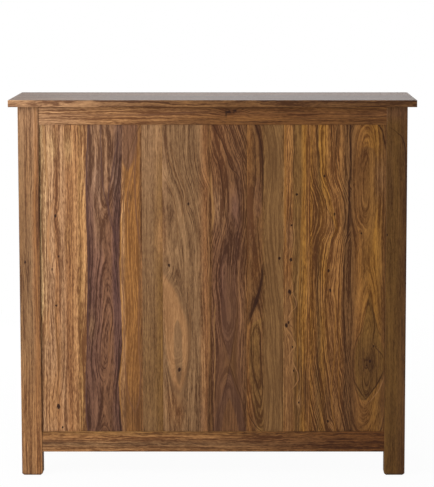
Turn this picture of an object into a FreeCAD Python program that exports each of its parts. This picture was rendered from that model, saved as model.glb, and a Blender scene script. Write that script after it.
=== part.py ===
import FreeCAD, Part
import os

from FreeCAD import Placement, Rotation, Vector

# A bar counter of solid sheesham that stands on the floor. The customer stands on the -Y side and the
# bartender on the +Y side, +X is to the customer's right and +Z is up. The origin is on the floor, under
# the middle of the top. Lengths are in millimetres.

# The whole counter
overall_width = 1170.0
overall_depth = 400.0
overall_height = 1100.0

# Top
top_thickness = 20.0
end_overhang = 25.0
front_overhang = 25.0
rear_overhang = 10.0
top_arris = 1.5

# Posts
post_width = 60.0
post_depth = 50.0
post_arris = 1.5
foot_bevel = 6.0

# Rails and their tenons
floor_clearance = 70.0
bottom_rail_height = 60.0
bottom_rail_thickness = 40.0
top_rail_height = 52.0
rail_thickness = 22.0
rail_setback = 2.0
rail_arris = 1.0
tenon_length = 25.0
tenon_thickness = 10.0
bottom_tenon_thickness = 14.0
tenon_shoulder = 7.0

# Rails of the bartender's side
rear_rail_setback = 6.0
rear_top_rail_height = 30.0
drawer_opening_height = 120.0
middle_rail_height = 30.0

# Upright boards, with tongues in the grooves of posts and rails
board_thickness = 18.0
board_setback = 4.0
board_arris = 0.6
tongue_thickness = 8.0
tongue_depth = 8.0
front_board_shares = (0.116, 0.179, 0.059, 0.139, 0.106, 0.105, 0.078, 0.118, 0.100)
side_board_shares = (0.56, 0.44)

# Inside of the carcase
floor_board_thickness = 18.0
partition_thickness = 22.0
housing_depth = 5.0
shelf_thickness = 18.0
shelf_room = 1.0
shelf_door_gap = 4.0
shelf_height_share = 0.5
shelf_arris = 1.5
pin_radius = 2.5
pin_bite = 8.0
pin_reach = 7.0
pin_edge_distance = 12.0

# Drawers, which hang on wooden runners in grooves of their sides
inset_setback = 12.0
inset_gap = 2.0
face_arris = 1.5
drawer_front_thickness = 18.0
drawer_side_thickness = 15.0
drawer_side_drop = 12.0
drawer_side_room = 5.5
drawer_back_room = 41.0
drawer_back_thickness = 12.0
drawer_bottom_thickness = 5.0
drawer_bottom_lift = 8.0
drawer_groove_depth = 5.0
tail_count = 3
tail_length = 10.0
tail_root_share = 0.24
tail_tip_share = 0.34
runner_thickness = 12.0
runner_height = 14.0
runner_clearance = 0.4

# Door
door_thickness = 20.0
door_stile_width = 55.0
door_rail_height = 60.0
door_tenon_length = 30.0
door_tenon_thickness = 8.0
door_panel_tongue = 6.0
door_panel_groove = 8.0
door_field_gap = 4.0
door_field_setback = 3.0
door_knob_height_share = 0.62

# Butt hinges
hinge_height = 50.0
hinge_leaf_width = 18.0
hinge_leaf_thickness = 1.0
barrel_radius = 2.5
hinge_pin_radius = 1.2
knuckle_count = 3
hinge_clearance = 0.05
knuckle_gap = 0.4
leaf_barrel_gap = 0.3
hinge_inset = 80.0
hinge_screw_spacing = 30.0
pin_head_radius = 2.2
pin_head_height = 1.2

# Knobs, turned from one bar with the screw that holds them
knob_radius = 12.0
knob_height = 20.0
knob_screw_radius = 2.5
knob_screw_length = 15.0
knob_foot_radius_share = 0.66
knob_foot_height_share = 0.1
knob_neck_radius_share = 0.38
knob_neck_height_share = 0.34
knob_rim_radius_share = 0.9
knob_rim_height_share = 0.58
knob_waist_height_share = 0.7
knob_crown_radius_share = 0.88
knob_crown_height_share = 0.82
knob_dome_radius_share = 0.48
knob_dome_height_share = 0.955
knob_tip_radius_share = 0.08

# Round-headed wood screws
screw_radius = 1.5
screw_length = 12.0
screw_head_radius = 2.9
screw_head_height = 1.1
screw_head_round_share = 0.8

# Steel angle brackets under the top
bracket_leg = 25.0
bracket_width = 20.0
bracket_thickness = 2.0
bracket_screw_share = 0.64
front_bracket_share = 0.6
rear_bracket_share = 0.5

# Magnetic catch and its strike plate
catch_height = 46.0
catch_width = 18.0
catch_base_thickness = 3.0
catch_box_height = 28.0
catch_box_thickness = 14.0
catch_strike_gap = 0.3
catch_drop = 40.0
strike_thickness = 1.2
strike_width = 14.0
strike_height = 44.0
strike_screw_inset = 8.0

# Edges nearer to a plane than this lie in it
same_place = 0.001

# Planes that follow from the sizes above
top_front_y = -overall_depth / 2
top_rear_y = overall_depth / 2
under_top_z = overall_height - top_thickness
carcase_x = overall_width / 2 - end_overhang
post_x = carcase_x - post_width
post_front_y = top_front_y + front_overhang
post_rear_y = top_rear_y - rear_overhang
front_post_back_y = post_front_y + post_depth
rear_post_front_y = post_rear_y - post_depth
between_posts_x = (-post_x, post_x)
between_posts_y = (front_post_back_y, rear_post_front_y)

# Heights of the rails, each from its lower to its upper edge
bottom_rail_z = (floor_clearance, floor_clearance + bottom_rail_height)
top_rail_z = (under_top_z - top_rail_height, under_top_z)
rear_top_rail_z = (under_top_z - rear_top_rail_height, under_top_z)
middle_rail_top_z = rear_top_rail_z[0] - drawer_opening_height
middle_rail_z = (middle_rail_top_z - middle_rail_height, middle_rail_top_z)
boards_z = (bottom_rail_z[1], top_rail_z[0])
floor_board_z = (bottom_rail_z[1], bottom_rail_z[1] + floor_board_thickness)
bay_z = (floor_board_z[1], middle_rail_z[0])

# Depths of the rails and boards, each from its outer to its inner face
front_rail_y = post_front_y + rail_setback
front_board_y = front_rail_y + board_setback
boards_back_y = front_board_y + board_thickness
rear_rail_y = post_rear_y - rear_rail_setback
rear_rail_front_y = rear_rail_y - rail_thickness
side_rail_x = carcase_x - rail_setback
side_board_x = side_rail_x - board_setback
side_board_back_x = side_board_x - board_thickness
partition_x = partition_thickness / 2
inset_face_y = post_rear_y - inset_setback
drawer_front_back_y = inset_face_y - drawer_front_thickness
drawer_back_y = boards_back_y + drawer_back_room
door_back_y = inset_face_y - door_thickness


def block(x, y, z):
    """A rectangular piece between two limits along each axis, given in either order."""
    low = Vector(min(x), min(y), min(z))
    high = Vector(max(x), max(y), max(z))
    return Part.makeBox(high.x - low.x, high.y - low.y, high.z - low.z, low)


def middle(limits):
    return (limits[0] + limits[1]) / 2


def about(centre, size):
    """The limits of a size that is centred on a place."""
    return (centre - size / 2, centre + size / 2)


def grown(limits, room):
    """Limits that are moved outwards by the same room at both ends."""
    return (min(limits) - room, max(limits) + room)


def mirrored(side, limits):
    """Limits on the +X half, carried to the half that side names."""
    return (side * limits[0], side * limits[1])


def edges_in_plane(piece, axis, level):
    """The edges of a piece whose two ends lie in the plane where the axis has this level."""
    found = []
    for edge in piece.Edges:
        offsets = [abs(getattr(vertex.Point, axis) - level) for vertex in edge.Vertexes]
        if max(offsets) < same_place:
            found.append(edge)
    return found


def edges_along(piece, axis):
    """The edges of a rectangular piece that run along one axis."""
    found = []
    for edge in piece.Edges:
        ends = [vertex.Point for vertex in edge.Vertexes]
        run = ends[-1] - ends[0]
        if abs(getattr(run, axis)) > run.Length - same_place:
            found.append(edge)
    return found


def face_edges_along(piece, axis, plane_axis, level):
    """The edges that run along one axis and lie in a plane across another."""
    in_plane = edges_in_plane(piece, plane_axis, level)
    along = edges_along(piece, axis)
    return [edge for edge in in_plane if any(edge.isSame(other) for other in along)]


def tongue(face_level, inwards):
    """The limits of a board's tongue, in the middle of its thickness."""
    return about(face_level + inwards * board_thickness / 2, tongue_thickness)


def board_limits(shares, span):
    """The two edges of each board, from its share of the width between two posts."""
    width = span[1] - span[0]
    limits = []
    start = span[0]
    for share in shares:
        limits.append((start, start + share * width))
        start += share * width
    return limits


def top_board():
    half_width = overall_width / 2
    top = block((-half_width, half_width), (top_front_y, top_rear_y), (under_top_z, overall_height))
    return top.makeFillet(top_arris, top.Edges)


def post(side, y):
    """A square post, its arrises rounded and its foot bevelled so that it doesn't splinter."""
    leg = block(mirrored(side, (post_x, carcase_x)), y, (0, under_top_z))
    leg = leg.makeChamfer(foot_bevel, edges_in_plane(leg, "z", 0))
    upright = [edge for edge in edges_along(leg, "z") if edge.Length > foot_bevel + foot_bevel]
    return leg.makeFillet(post_arris, upright)


def rail_across(y, z, thickness_of_tenon):
    """A rail along X between two posts, with a tenon at each end and its outer arrises rounded."""
    body = block(between_posts_x, y, z)
    body = body.makeFillet(rail_arris, face_edges_along(body, "x", "y", y[0]))
    tenons = block(grown(between_posts_x, tenon_length), about(middle(y), thickness_of_tenon),
                   grown(z, -tenon_shoulder))
    return body.fuse(tenons).removeSplitter()


def rail_deep(side, thickness, z, thickness_of_tenon):
    """A rail along Y at one end of the counter, with a tenon at each end."""
    outer_x = side * side_rail_x
    inner_x = side * (side_rail_x - thickness)
    body = block((outer_x, inner_x), between_posts_y, z)
    body = body.makeFillet(rail_arris, face_edges_along(body, "y", "x", outer_x))
    tenons = block(about((outer_x + inner_x) / 2, thickness_of_tenon), grown(between_posts_y, tenon_length),
                   grown(z, -tenon_shoulder))
    return body.fuse(tenons).removeSplitter()


def front_board(index, limits):
    """An upright board with a tongue at its top and foot, and at a post also along its edge."""
    board = block(limits, (front_board_y, boards_back_y), boards_z)
    board = board.makeChamfer(board_arris, face_edges_along(board, "z", "y", front_board_y))
    tongue_x = list(limits)
    if index == 0:
        tongue_x[0] -= tongue_depth
    if index == len(front_board_shares) - 1:
        tongue_x[1] += tongue_depth
    tongues = block(tongue_x, tongue(front_board_y, 1), grown(boards_z, tongue_depth))
    return board.fuse(tongues).removeSplitter()


def side_board(side, index, limits):
    """An upright board at one end of the counter, tongued like those of the front."""
    outer_x = side * side_board_x
    board = block((outer_x, side * side_board_back_x), limits, boards_z)
    board = board.makeChamfer(board_arris, face_edges_along(board, "z", "x", outer_x))
    tongue_y = list(limits)
    if index == 0:
        tongue_y[0] -= tongue_depth
    if index == len(side_board_shares) - 1:
        tongue_y[1] += tongue_depth
    tongues = block(tongue(outer_x, -side), tongue_y, grown(boards_z, tongue_depth))
    return board.fuse(tongues).removeSplitter()


def notches(piece_z):
    """The room that the four posts take from a board that fills the carcase."""
    found = []
    for side in (-1, 1):
        for y in ((post_front_y, front_post_back_y), (rear_post_front_y, post_rear_y)):
            found.append(block(mirrored(side, (post_x, carcase_x)), y, piece_z))
    return found


def bottom_board():
    """The board that lies on the four bottom rails, cut out round the posts."""
    board = block((-side_board_back_x, side_board_back_x), (boards_back_y, rear_rail_y), floor_board_z)
    rear_edges = face_edges_along(board, "x", "y", rear_rail_y)
    board = board.makeFillet(shelf_arris, [max(rear_edges, key=lambda edge: edge.CenterOfMass.z)])
    return board.cut(notches(floor_board_z))


def centre_partition():
    """The upright board between the two bays, let into the bottom board."""
    foot_z = floor_board_z[1] - housing_depth
    board = block((-partition_x, partition_x), (boards_back_y, rear_rail_y), (foot_z, under_top_z))
    board = board.makeFillet(rail_arris, face_edges_along(board, "z", "y", rear_rail_y))
    rail_rooms = [block((-partition_x, partition_x), (rear_rail_front_y, rear_rail_y), z)
                  for z in (rear_top_rail_z, middle_rail_z)]
    return board.cut(rail_rooms)


def shelf_bottom_z():
    return bay_z[0] + shelf_height_share * (bay_z[1] - bay_z[0])


def shelf(side):
    """A loose shelf, cut out round the posts."""
    bottom_z = shelf_bottom_z()
    z = (bottom_z, bottom_z + shelf_thickness)
    rear_y = door_back_y - shelf_door_gap
    x = mirrored(side, (partition_x + shelf_room, side_board_back_x - shelf_room))
    board = block(x, (boards_back_y + shelf_room, rear_y), z)
    board = board.makeFillet(shelf_arris, face_edges_along(board, "x", "y", rear_y))
    for notch in notches(z):
        box = notch.BoundBox
        room = block(grown((box.XMin, box.XMax), shelf_room), grown((box.YMin, box.YMax), shelf_room), z)
        board = board.cut(room)
    return board


def shelf_pins():
    """Four round pins under each shelf, two in the partition and two in the posts."""
    pins = []
    centre_z = shelf_bottom_z() - pin_radius
    front_y = boards_back_y + pin_edge_distance
    rear_y = door_back_y - shelf_door_gap - pin_edge_distance
    for side in (-1, 1):
        for y in (front_y, rear_y):
            inner = Vector(side * (partition_x - pin_bite), y, centre_z)
            pins.append(Part.makeCylinder(pin_radius, pin_bite + pin_reach, inner, Vector(side, 0, 0)))
            outer = Vector(side * (post_x + pin_bite), y, centre_z)
            pins.append(Part.makeCylinder(pin_radius, pin_bite + pin_reach, outer, Vector(-side, 0, 0)))
    return pins


def inset_front_z():
    """The height of a drawer front, within the gap round it."""
    return grown((middle_rail_z[1], rear_top_rail_z[0]), -inset_gap)


def drawer_side_z():
    return grown(inset_front_z(), -drawer_side_drop)


def runner_grooves(side):
    """The two grooves that a drawer's sides need for its runners, with their clearance."""
    y = (drawer_back_y, drawer_front_back_y)
    z = grown(about(middle(drawer_side_z()), runner_height), runner_clearance)
    reach = runner_thickness + runner_clearance
    inner = block(mirrored(side, (partition_x, partition_x + reach)), y, z)
    outer = block(mirrored(side, (post_x, post_x - reach)), y, z)
    return [inner, outer]


def drawer_runners(side):
    """Two strips that carry a drawer. Their ends stop its front when it is pushed home."""
    y = (boards_back_y, drawer_front_back_y - runner_clearance)
    z = about(middle(drawer_side_z()), runner_height)
    inner = block(mirrored(side, (partition_x, partition_x + runner_thickness)), y, z)
    outer = block(mirrored(side, (post_x, post_x - runner_thickness)), y, z)
    return [inner, outer]


def dovetail(x, centre_z, pitch):
    """One tail of a lapped dovetail, widest at its tip."""
    root = tail_root_share * pitch
    tip = tail_tip_share * pitch
    tip_y = drawer_front_back_y + tail_length
    corners = [
        Vector(min(x), drawer_front_back_y, centre_z - root),
        Vector(min(x), tip_y, centre_z - tip),
        Vector(min(x), tip_y, centre_z + tip),
        Vector(min(x), drawer_front_back_y, centre_z + root),
    ]
    outline = Part.makePolygon(corners + corners[:1])
    return Part.Face(outline).extrude(Vector(max(x) - min(x), 0, 0))


def drawer_side(x):
    """A drawer's side, with tails at its front end."""
    z = drawer_side_z()
    side = block(x, (drawer_back_y, drawer_front_back_y), z)
    pitch = (z[1] - z[0]) / tail_count
    tails = [dovetail(x, z[0] + number * pitch + pitch / 2, pitch) for number in range(tail_count)]
    return side.fuse(tails).removeSplitter()


def drawer(side, name):
    """The pieces of one drawer, by name."""
    front_x = mirrored(side, (partition_x + inset_gap, post_x - inset_gap))
    inner_face = partition_x + drawer_side_room
    outer_face = post_x - drawer_side_room
    inner_x = mirrored(side, (inner_face, inner_face + drawer_side_thickness))
    outer_x = mirrored(side, (outer_face, outer_face - drawer_side_thickness))
    housed_x = grown((inner_x[1], outer_x[1]), drawer_groove_depth)
    side_z = drawer_side_z()
    bottom_z = side_z[0] + drawer_bottom_lift

    front = block(front_x, (drawer_front_back_y, inset_face_y), inset_front_z())
    front = front.makeFillet(face_arris, edges_in_plane(front, "y", inset_face_y))
    inner_side = drawer_side(inner_x)
    outer_side = drawer_side(outer_x)
    inside_y = (drawer_back_y + drawer_back_thickness, drawer_front_back_y)
    back = block(housed_x, (drawer_back_y, inside_y[0]), side_z)
    bottom_y = grown(inside_y, drawer_groove_depth)
    bottom = block(housed_x, bottom_y, (bottom_z, bottom_z + drawer_bottom_thickness))
    drawer_knob = knob(Vector(middle(front_x), inset_face_y, middle(inset_front_z())))

    front = front.cut([inner_side, outer_side, bottom, drawer_knob])
    back = back.cut(bottom)
    rooms = [back, bottom] + runner_grooves(side)
    return {
        name + "_front": front,
        name + "_inner_side": inner_side.cut(rooms),
        name + "_outer_side": outer_side.cut(rooms),
        name + "_back": back,
        name + "_bottom": bottom,
        name + "_knob": drawer_knob,
    }


def knob(foot):
    """A turned knob on a face that looks along +Y, with its screw in the wood behind the face."""

    def place(radius_share, height_share):
        return Vector(knob_radius * radius_share, 0, knob_height * height_share)

    screw_end = Vector(0, 0, -knob_screw_length)
    screw_tip = Vector(knob_screw_radius, 0, -knob_screw_length)
    screw_root = Vector(knob_screw_radius, 0, 0)
    foot_rim = place(knob_foot_radius_share, 0)
    foot_top = place(knob_foot_radius_share, knob_foot_height_share)
    neck = place(knob_neck_radius_share, knob_neck_height_share)
    under_rim = place(knob_rim_radius_share, knob_rim_height_share)
    waist = place(1, knob_waist_height_share)
    crown = place(knob_crown_radius_share, knob_crown_height_share)
    dome = place(knob_dome_radius_share, knob_dome_height_share)
    tip_rim = place(knob_tip_radius_share, 1)
    tip = place(0, 1)
    outline = Part.Wire([
        Part.LineSegment(screw_end, screw_tip).toShape(),
        Part.LineSegment(screw_tip, screw_root).toShape(),
        Part.LineSegment(screw_root, foot_rim).toShape(),
        Part.LineSegment(foot_rim, foot_top).toShape(),
        Part.Arc(foot_top, neck, under_rim).toShape(),
        Part.Arc(under_rim, waist, crown).toShape(),
        Part.Arc(crown, dome, tip_rim).toShape(),
        Part.LineSegment(tip_rim, tip).toShape(),
        Part.LineSegment(tip, screw_end).toShape(),
    ])
    turned = Part.Face(outline).revolve(Vector(0, 0, 0), Vector(0, 0, 1), 360)
    turned.Placement = Placement(foot, Rotation(Vector(0, 0, 1), Vector(0, 1, 0)))
    return turned


def screw(seat, direction):
    """A round-headed screw whose head sits on a face at seat, and whose shank runs along direction."""
    head = Part.makeCylinder(screw_head_radius, screw_head_height, Vector(0, 0, -screw_head_height))
    outer_edge = edges_in_plane(head, "z", -screw_head_height)
    head = head.makeFillet(screw_head_height * screw_head_round_share, outer_edge)
    shank = Part.makeCylinder(screw_radius, screw_length)
    made = head.fuse(shank).removeSplitter()
    made.Placement = Placement(seat, Rotation(Vector(0, 0, 1), direction))
    return made


def top_bracket(corner, inwards):
    """A steel angle in the corner of a rail and the top, and its two screws. inwards leaves the rail."""
    across = inwards.cross(Vector(0, 0, 1))
    turn = Placement(corner, Rotation(across, inwards, Vector(0, 0, 1), "ZYX"))
    width = about(0, bracket_width)
    upright = block(width, (0, bracket_thickness), (0, -bracket_leg))
    flat = block(width, (0, bracket_leg), (0, -bracket_thickness))
    angle = upright.fuse(flat).removeSplitter()
    angle.Placement = turn
    reach = bracket_screw_share * bracket_leg
    up_seat = turn.multVec(Vector(0, reach, -bracket_thickness))
    rail_seat = turn.multVec(Vector(0, bracket_thickness, -reach))
    screws = [screw(up_seat, Vector(0, 0, 1)), screw(rail_seat, -inwards)]
    return angle, screws


def top_brackets():
    """The brackets that hold the top on the rails: two in front, two behind and one at each end."""
    places = []
    for side in (-1, 1):
        front_x = side * front_bracket_share * post_x
        rear_x = side * rear_bracket_share * post_x
        end_x = side * (side_rail_x - rail_thickness)
        places.append((Vector(front_x, front_rail_y + rail_thickness, under_top_z), Vector(0, 1, 0)))
        places.append((Vector(rear_x, rear_rail_front_y, under_top_z), Vector(0, -1, 0)))
        places.append((Vector(end_x, middle(between_posts_y), under_top_z), Vector(-side, 0, 0)))
    angles = []
    screws = []
    for corner, inwards in places:
        angle, pair = top_bracket(corner, inwards)
        angles.append(angle)
        screws += pair
    return angles, screws


def door_x():
    """The door's width: a gap at the latch, and room for the closed hinge at the other edge."""
    hinge_gap = barrel_radius + barrel_radius - hinge_leaf_thickness
    return (partition_x + inset_gap, post_x - hinge_gap)


def door_z():
    return grown(bay_z, -inset_gap)


def door_frame():
    """The door's two stiles, two tenoned rails and fielded panel, by name."""
    x = door_x()
    z = door_z()
    y = (door_back_y, inset_face_y)
    inner_x = (x[0] + door_stile_width, x[1] - door_stile_width)
    panel_z = grown(z, -door_rail_height)

    latch_stile = block((x[0], inner_x[0]), y, z)
    hinge_stile = block((inner_x[1], x[1]), y, z)
    rails = []
    for rail_z in ((z[0], panel_z[0]), (panel_z[1], z[1])):
        rail = block(inner_x, y, rail_z)
        tenons = block(grown(inner_x, door_tenon_length), about(middle(y), door_tenon_thickness),
                       grown(rail_z, -tenon_shoulder))
        rail = rail.makeFillet(face_arris, face_edges_along(rail, "x", "y", inset_face_y))
        rails.append(rail.fuse(tenons).removeSplitter())
    latch_stile = latch_stile.makeFillet(face_arris, face_edges_along(latch_stile, "z", "y", inset_face_y))
    hinge_stile = hinge_stile.makeFillet(face_arris, face_edges_along(hinge_stile, "z", "y", inset_face_y))

    field = block(grown(inner_x, -door_field_gap), grown(y, -door_field_setback),
                  grown(panel_z, -door_field_gap))
    edge = block(grown(inner_x, door_panel_groove), about(middle(y), door_panel_tongue),
                 grown(panel_z, door_panel_groove))
    panel = field.fuse(edge).removeSplitter()
    return {
        "door_latch_stile": latch_stile.cut(rails + [panel]),
        "door_hinge_stile": hinge_stile.cut(rails + [panel]),
        "door_bottom_rail": rails[0].cut(panel),
        "door_top_rail": rails[1].cut(panel),
        "door_panel": panel,
    }


def hinge_axis():
    """Where the hinge pins stand, in plan."""
    return Vector(post_x - barrel_radius, inset_face_y + barrel_radius, 0)


def hinge_centres():
    z = door_z()
    return (z[0] + hinge_inset + hinge_height / 2, z[1] - hinge_inset - hinge_height / 2)


def hinge_knuckles(centre_z):
    """The limits of a hinge's three knuckles, from the lowest up."""
    height = hinge_height / knuckle_count
    low = centre_z - hinge_height / 2
    limits = [(low + number * height, low + (number + 1) * height) for number in range(knuckle_count)]
    return [grown(knuckle, -knuckle_gap / 2) for knuckle in limits]


def hinge_leaf(leaf_x, centre_z, knuckle_limits, bore_radius):
    """A hinge leaf with the knuckles that are rolled from it."""
    axis = hinge_axis()
    plate_end_y = axis.y - barrel_radius - leaf_barrel_gap
    plate_y = (inset_face_y - hinge_leaf_width, plate_end_y)
    leaf = block(leaf_x, plate_y, about(centre_z, hinge_height))
    for limits in knuckle_limits:
        height = limits[1] - limits[0]
        foot = Vector(axis.x, axis.y, limits[0])
        tab = block(leaf_x, (plate_end_y, axis.y), limits)
        barrel = Part.makeCylinder(barrel_radius, height, foot)
        leaf = leaf.fuse([tab, barrel])
    for limits in knuckle_limits:
        foot = Vector(axis.x, axis.y, limits[0])
        leaf = leaf.cut(Part.makeCylinder(bore_radius, limits[1] - limits[0], foot))
    return leaf.removeSplitter()


def hinges():
    """The two butt hinges: leaves on the post, leaves on the door, pins, and both sets of screws."""
    axis = hinge_axis()
    post_leaf_x = (post_x - hinge_leaf_thickness, post_x)
    door_leaf_x = (axis.x - barrel_radius, axis.x - barrel_radius + hinge_leaf_thickness)
    screw_y = inset_face_y - hinge_leaf_width / 2 - leaf_barrel_gap
    made = {"fixed": [], "moving": [], "pins": [], "fixed_screws": [], "moving_screws": []}
    for centre_z in hinge_centres():
        knuckles = hinge_knuckles(centre_z)
        low_z = knuckles[0][0]
        high_z = knuckles[-1][1]
        made["fixed"].append(hinge_leaf(post_leaf_x, centre_z, knuckles[0::2], hinge_pin_radius))
        loose_radius = hinge_pin_radius + hinge_clearance
        made["moving"].append(hinge_leaf(door_leaf_x, centre_z, knuckles[1::2], loose_radius))
        pin = Part.makeCylinder(hinge_pin_radius, high_z - low_z, Vector(axis.x, axis.y, low_z))
        head = Part.makeCylinder(pin_head_radius, pin_head_height, Vector(axis.x, axis.y, high_z))
        made["pins"].append(pin.fuse(head).removeSplitter())
        for screw_z in about(centre_z, hinge_screw_spacing):
            post_seat = Vector(post_leaf_x[0], screw_y, screw_z)
            made["fixed_screws"].append(screw(post_seat, Vector(1, 0, 0)))
            door_seat = Vector(door_leaf_x[1], screw_y, screw_z)
            made["moving_screws"].append(screw(door_seat, Vector(-1, 0, 0)))
    return made


def catch_centre_z():
    return door_z()[1] - catch_drop


def magnetic_catch():
    """A catch with a magnet in its box, and the two screws in its base."""
    z = catch_centre_z()
    face_y = door_back_y - strike_thickness - catch_strike_gap
    y = (face_y - catch_width, face_y)
    base_x = (partition_x, partition_x + catch_base_thickness)
    base = block(base_x, y, about(z, catch_height))
    box = block((partition_x, partition_x + catch_box_thickness), y, about(z, catch_box_height))
    box = box.makeFillet(rail_arris, edges_in_plane(box, "x", partition_x + catch_box_thickness))
    screws = []
    for screw_z in about(z, (catch_height + catch_box_height) / 2):
        screws.append(screw(Vector(base_x[1], middle(y), screw_z), Vector(-1, 0, 0)))
    return base.fuse(box).removeSplitter(), screws


def strike_plate():
    """The steel plate that the magnet holds, and its screw above the catch."""
    low_z = catch_centre_z() - catch_box_height / 2
    left_x = partition_x + catch_base_thickness
    x = (left_x, left_x + strike_width)
    plate = block(x, (door_back_y - strike_thickness, door_back_y), (low_z, low_z + strike_height))
    seat = Vector(middle(x), door_back_y - strike_thickness, low_z + strike_height - strike_screw_inset)
    return plate, screw(seat, Vector(0, 1, 0))


def carcase_wood():
    """Every wooden piece of the fixed body, by name, before it is cut to take its neighbours."""
    pieces = {
        "top_board": top_board(),
        "front_left_post": post(-1, (post_front_y, front_post_back_y)),
        "front_right_post": post(1, (post_front_y, front_post_back_y)),
        "rear_left_post": post(-1, (rear_post_front_y, post_rear_y)),
        "rear_right_post": post(1, (rear_post_front_y, post_rear_y)),
        "front_top_rail": rail_across(
            (front_rail_y, front_rail_y + rail_thickness), top_rail_z, tenon_thickness),
        "front_bottom_rail": rail_across(
            (front_rail_y, front_rail_y + bottom_rail_thickness), bottom_rail_z, bottom_tenon_thickness),
        "rear_top_rail": rail_across((rear_rail_y, rear_rail_front_y), rear_top_rail_z, tenon_thickness),
        "rear_middle_rail": rail_across((rear_rail_y, rear_rail_front_y), middle_rail_z, tenon_thickness),
        "rear_bottom_rail": rail_across(
            (rear_rail_y, rear_rail_y - bottom_rail_thickness), bottom_rail_z, bottom_tenon_thickness),
        "bottom_board": bottom_board(),
        "centre_partition": centre_partition(),
        "open_bay_shelf": shelf(-1),
        "cupboard_shelf": shelf(1),
    }
    for index, limits in enumerate(board_limits(front_board_shares, between_posts_x)):
        pieces[f"front_board_{index + 1}"] = front_board(index, limits)
    for name, side in (("left", -1), ("right", 1)):
        pieces[name + "_side_top_rail"] = rail_deep(side, rail_thickness, top_rail_z, tenon_thickness)
        pieces[name + "_side_bottom_rail"] = rail_deep(
            side, bottom_rail_thickness, bottom_rail_z, bottom_tenon_thickness)
        for index, limits in enumerate(board_limits(side_board_shares, between_posts_y)):
            pieces[f"{name}_side_board_{index + 1}"] = side_board(side, index, limits)
    return pieces


def let_in(pieces, hosts, guests):
    """Cuts the room that the guests take out of each host that they reach."""
    for name in hosts:
        reach = pieces[name].BoundBox
        near = [guest for guest in guests if reach.intersect(guest.BoundBox)]
        if near:
            pieces[name] = pieces[name].cut(near)


def names_with(pieces, word):
    return [name for name in pieces if word in name]


def joined(shapes):
    """One group of separate solids."""
    return Part.makeCompound(shapes)


def counter():
    """Every piece of the counter, by the name of its node."""
    pieces = carcase_wood()
    posts = names_with(pieces, "_post")
    rails = names_with(pieces, "_rail")
    boards = names_with(pieces, "_board_")
    pins = shelf_pins()
    angles, angle_screws = top_brackets()
    catch, catch_screws = magnetic_catch()
    plate, plate_screw = strike_plate()
    hinge = hinges()
    screws = angle_screws + catch_screws + hinge["fixed_screws"]

    let_in(pieces, rails, [pieces[name] for name in boards])
    let_in(pieces, posts, [pieces[name] for name in rails + boards])
    let_in(pieces, ["bottom_board"], [pieces["centre_partition"]])
    let_in(pieces, posts + ["centre_partition"], pins)
    let_in(pieces, posts + rails + ["top_board", "centre_partition"], screws)

    door = door_frame()
    latch_x = (door_x()[0], door_x()[0] + door_stile_width)
    knob_z = door_z()[0] + door_knob_height_share * (door_z()[1] - door_z()[0])
    door_knob = knob(Vector(middle(latch_x), inset_face_y, knob_z))
    let_in(door, ["door_latch_stile"], [door_knob, plate_screw])
    let_in(door, ["door_hinge_stile"], hinge["moving"] + hinge["moving_screws"])

    moving_plate = plate.cut(plate_screw)
    moving_leaves = joined(hinge["moving"]).cut(joined(hinge["moving_screws"]))
    fixed_leaves = joined(hinge["fixed"]).cut(joined(hinge["fixed_screws"]))
    pieces.update(door)
    pieces.update(drawer(-1, "left_drawer"))
    pieces.update(drawer(1, "right_drawer"))
    pieces.update({
        "shelf_pins": joined(pins),
        "left_drawer_runners": joined(drawer_runners(-1)),
        "right_drawer_runners": joined(drawer_runners(1)),
        "top_brackets": joined(angles).cut(joined(angle_screws)),
        "catch_magnet": catch.cut(joined(catch_screws)),
        "carcase_screws": joined(screws),
        "post_hinge_leaves": fixed_leaves,
        "hinge_pins": joined(hinge["pins"]),
        "door_hinge_leaves": moving_leaves,
        "door_screws": joined(hinge["moving_screws"] + [plate_screw]),
        "door_strike_plate": moving_plate,
        "door_knob": door_knob,
    })
    return pieces


def main():
    os.makedirs("parts", exist_ok=True)
    for name, piece in counter().items():
        solids = piece.Solids
        kept = solids[0] if len(solids) == 1 else joined(solids)
        kept.exportStep(f"parts/{name}.step")
        print(f"{name}: {len(solids)} solids, {kept.Volume:.1f} mm3, valid {kept.isValid()}")


main()
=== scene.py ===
import math
import random

import bpy
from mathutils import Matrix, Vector


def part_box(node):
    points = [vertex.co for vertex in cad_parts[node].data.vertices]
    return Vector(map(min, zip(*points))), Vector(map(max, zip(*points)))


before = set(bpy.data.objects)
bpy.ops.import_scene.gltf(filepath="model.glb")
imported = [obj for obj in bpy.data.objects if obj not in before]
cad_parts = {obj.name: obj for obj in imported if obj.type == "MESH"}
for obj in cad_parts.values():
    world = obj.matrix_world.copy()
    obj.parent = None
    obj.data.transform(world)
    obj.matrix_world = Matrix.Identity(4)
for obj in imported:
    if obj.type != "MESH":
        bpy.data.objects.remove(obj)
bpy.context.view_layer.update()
scene = bpy.context.scene

# Patterns are measured in millimetres, and the model in metres.
PER_METRE = 1000.0
MM = 1 / PER_METRE

# Routes and zones are in per cent of the height and of the width.
WHOLE = 100.0

# The tones of sheesham, from its pale sapwood to its violet heartwood and its dark lines and knots, and
# then those of mango wood.
TONES = {
    "straw": "9a6f42",
    "golden": "a6774c",
    "tan": "9d7451",
    "ash": "8c6b57",
    "orange": "8c5e39",
    "amber": "8e5e2f",
    "cinnamon": "98693f",
    "honey": "94642a",
    "russet": "936335",
    "olive": "7a552c",
    "moss": "6c4a20",
    "grey brown": "7d5b3c",
    "brown": "6f4a29",
    "chestnut": "6d4830",
    "purple": "674535",
    "violet": "5a3b30",
    "plum": "4b302a",
    "umber": "5c3b20",
    "rust": "603818",
    "ink": "311606",
    "knot": "2c1407",
    "mango": "a98356",
    "pale mango": "b79263",
    "grey mango": "9a7a55",
}

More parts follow.
